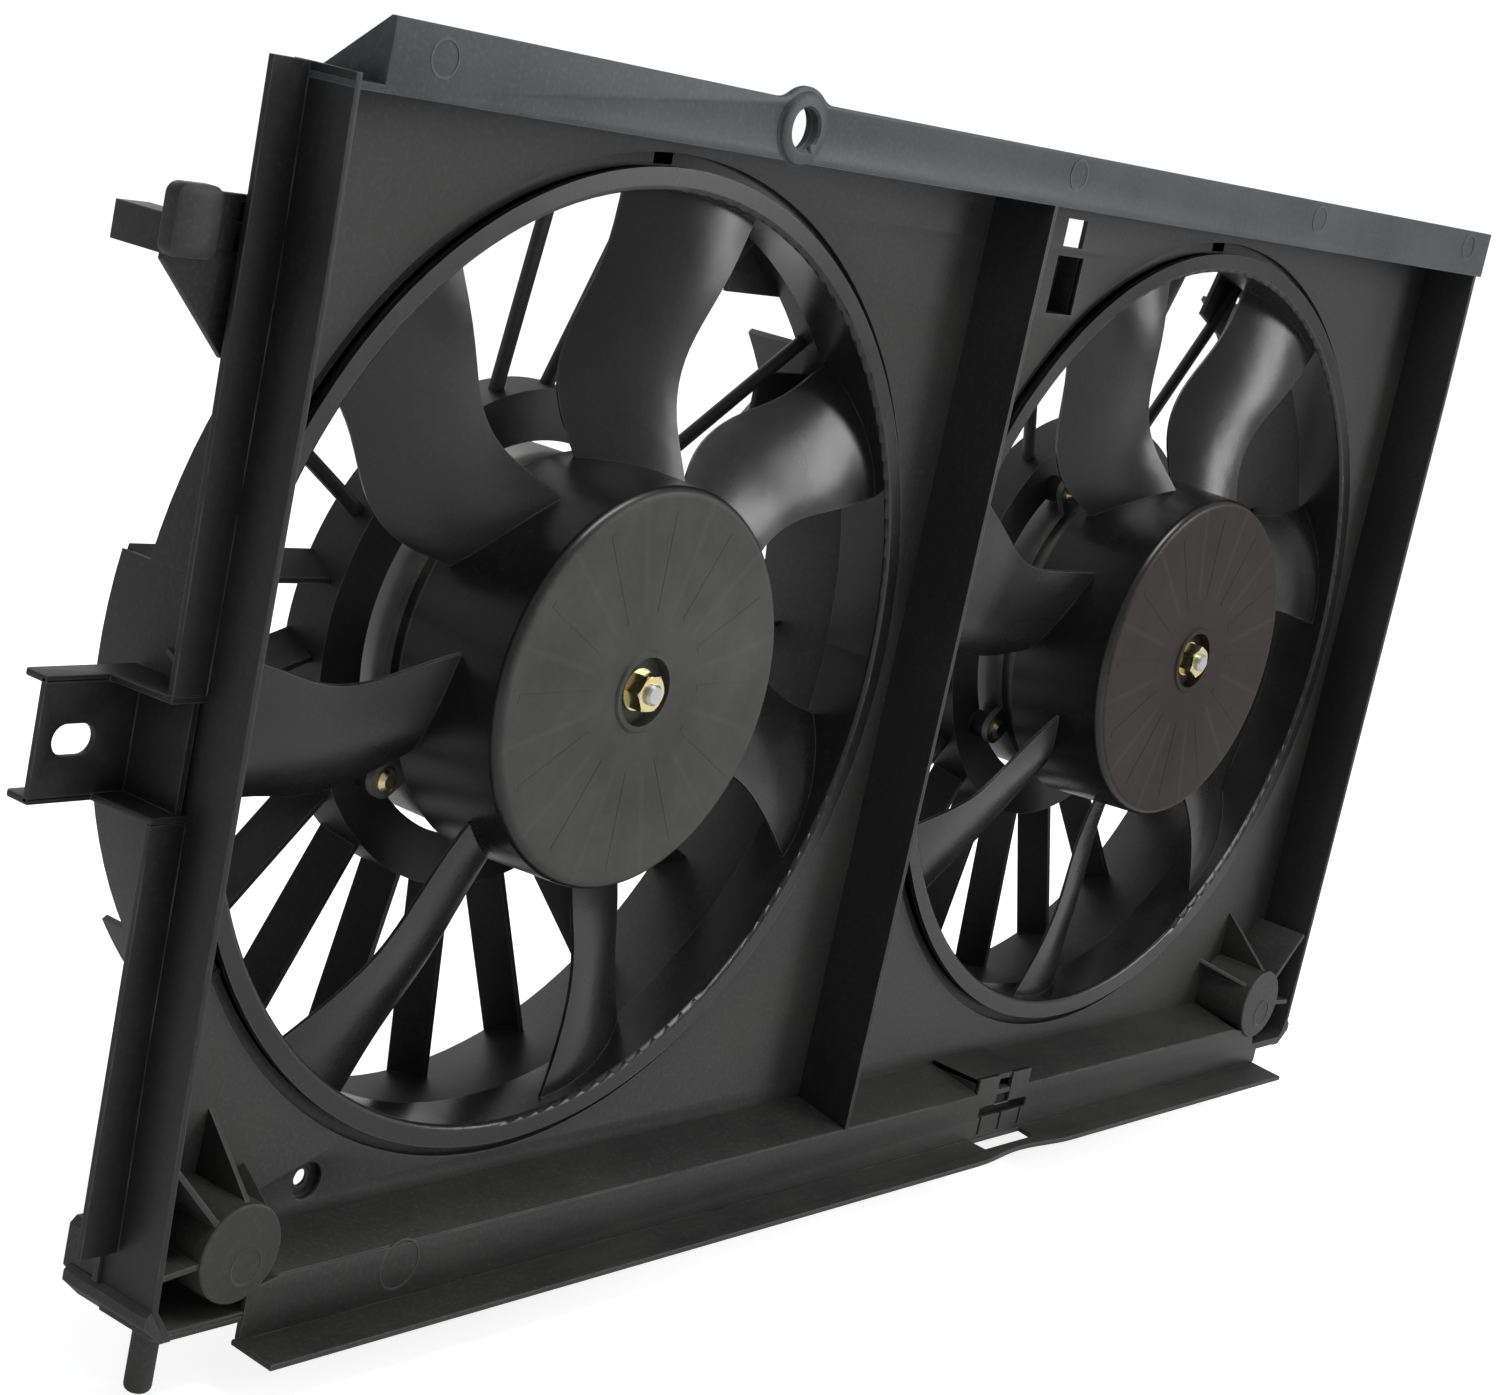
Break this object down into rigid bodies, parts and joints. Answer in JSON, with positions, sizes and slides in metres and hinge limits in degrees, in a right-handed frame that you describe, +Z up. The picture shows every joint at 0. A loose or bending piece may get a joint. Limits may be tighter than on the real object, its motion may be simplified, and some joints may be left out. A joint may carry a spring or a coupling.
{
  "type": "radiator cooling fan assembly",
  "caption": "Wide moulded shroud that carries banded electric fans side by side, with guide vanes, a top mounting ear, a slotted side bracket and locating pins.",
  "frame": {"origin": "centre of the top ear's mounting hole, in the ear's front face", "axes": "+X to the right along the shroud's length seen from the radiator side, +Y rearwards to the engine along the fan axes, +Z up"},
  "size_m": [0.8395, 0.11, 0.463],
  "materials": {
    "shroud_plastic": "matte, lightly mottled",
    "fan_plastic": "satin, dusty on the hub",
    "connector_plastic": "matte",
    "holder_plastic": "matte",
    "motor_steel": "zinc-coated, dull",
    "cast_alloy": "as cast",
    "bearing_steel": "ground",
    "shaft_steel": "ground",
    "core_steel": "stacked laminations",
    "winding_copper": "enamelled copper",
    "yellow_zinc": "yellow zinc plate",
    "magnet_ferrite": "sintered",
    "brush_carbon": "carbon"
  },
  "bodies": {
    "shroud": {"shroud_plate": "shroud_plastic", "centre_divider": "shroud_plastic", "top_rail": "shroud_plastic", "tray_floor": "shroud_plastic", "bottom_rail": "shroud_plastic", "side_bracket": "shroud_plastic", "harness_connector": "connector_plastic", "left_side_wall": "shroud_plastic", "left_corner_foot": "shroud_plastic", "left_corner_boss": "shroud_plastic", "left_air_duct": "shroud_plastic", "left_motor_ring": "shroud_plastic", "left_guide_vanes": "shroud_plastic", "left_tie_rods": "shroud_plastic", "left_motor_can": "motor_steel", "left_motor_end_plate": "cast_alloy", "left_motor_screws": "yellow_zinc", "left_front_bearing": "bearing_steel", "left_rear_bearing": "bearing_steel", "left_magnets": "magnet_ferrite", "left_brush_holder": "holder_plastic", "left_brushes": "brush_carbon", "right_side_wall": "shroud_plastic", "right_corner_foot": "shroud_plastic", "right_corner_boss": "shroud_plastic", "right_air_duct": "shroud_plastic", "right_motor_ring": "shroud_plastic", "right_guide_vanes": "shroud_plastic", "right_tie_rods": "shroud_plastic", "right_motor_can": "motor_steel", "right_motor_end_plate": "cast_alloy", "right_motor_screws": "yellow_zinc", "right_front_bearing": "bearing_steel", "right_rear_bearing": "bearing_steel", "right_magnets": "magnet_ferrite", "right_brush_holder": "holder_plastic", "right_brushes": "brush_carbon"},
    "left_rotor": {"left_fan": "fan_plastic", "left_motor_shaft": "shaft_steel", "left_shaft_nut": "yellow_zinc", "left_shaft_washer": "yellow_zinc", "left_armature_core": "core_steel", "left_armature_winding": "winding_copper", "left_commutator": "winding_copper"},
    "right_rotor": {"right_fan": "fan_plastic", "right_motor_shaft": "shaft_steel", "right_shaft_nut": "yellow_zinc", "right_shaft_washer": "yellow_zinc", "right_armature_core": "core_steel", "right_armature_winding": "winding_copper", "right_commutator": "winding_copper"}
  },
  "joints": [
    {"name": "left_fan_spin", "type": "hinge", "parent": "shroud", "child": "left_rotor", "pos_m": [-0.027, 0.029, -0.206], "axis": [0, 1, 0], "continuous": true},
    {"name": "right_fan_spin", "type": "hinge", "parent": "shroud", "child": "right_rotor", "pos_m": [0.37, 0.029, -0.206], "axis": [0, 1, 0], "continuous": true}
  ]
}
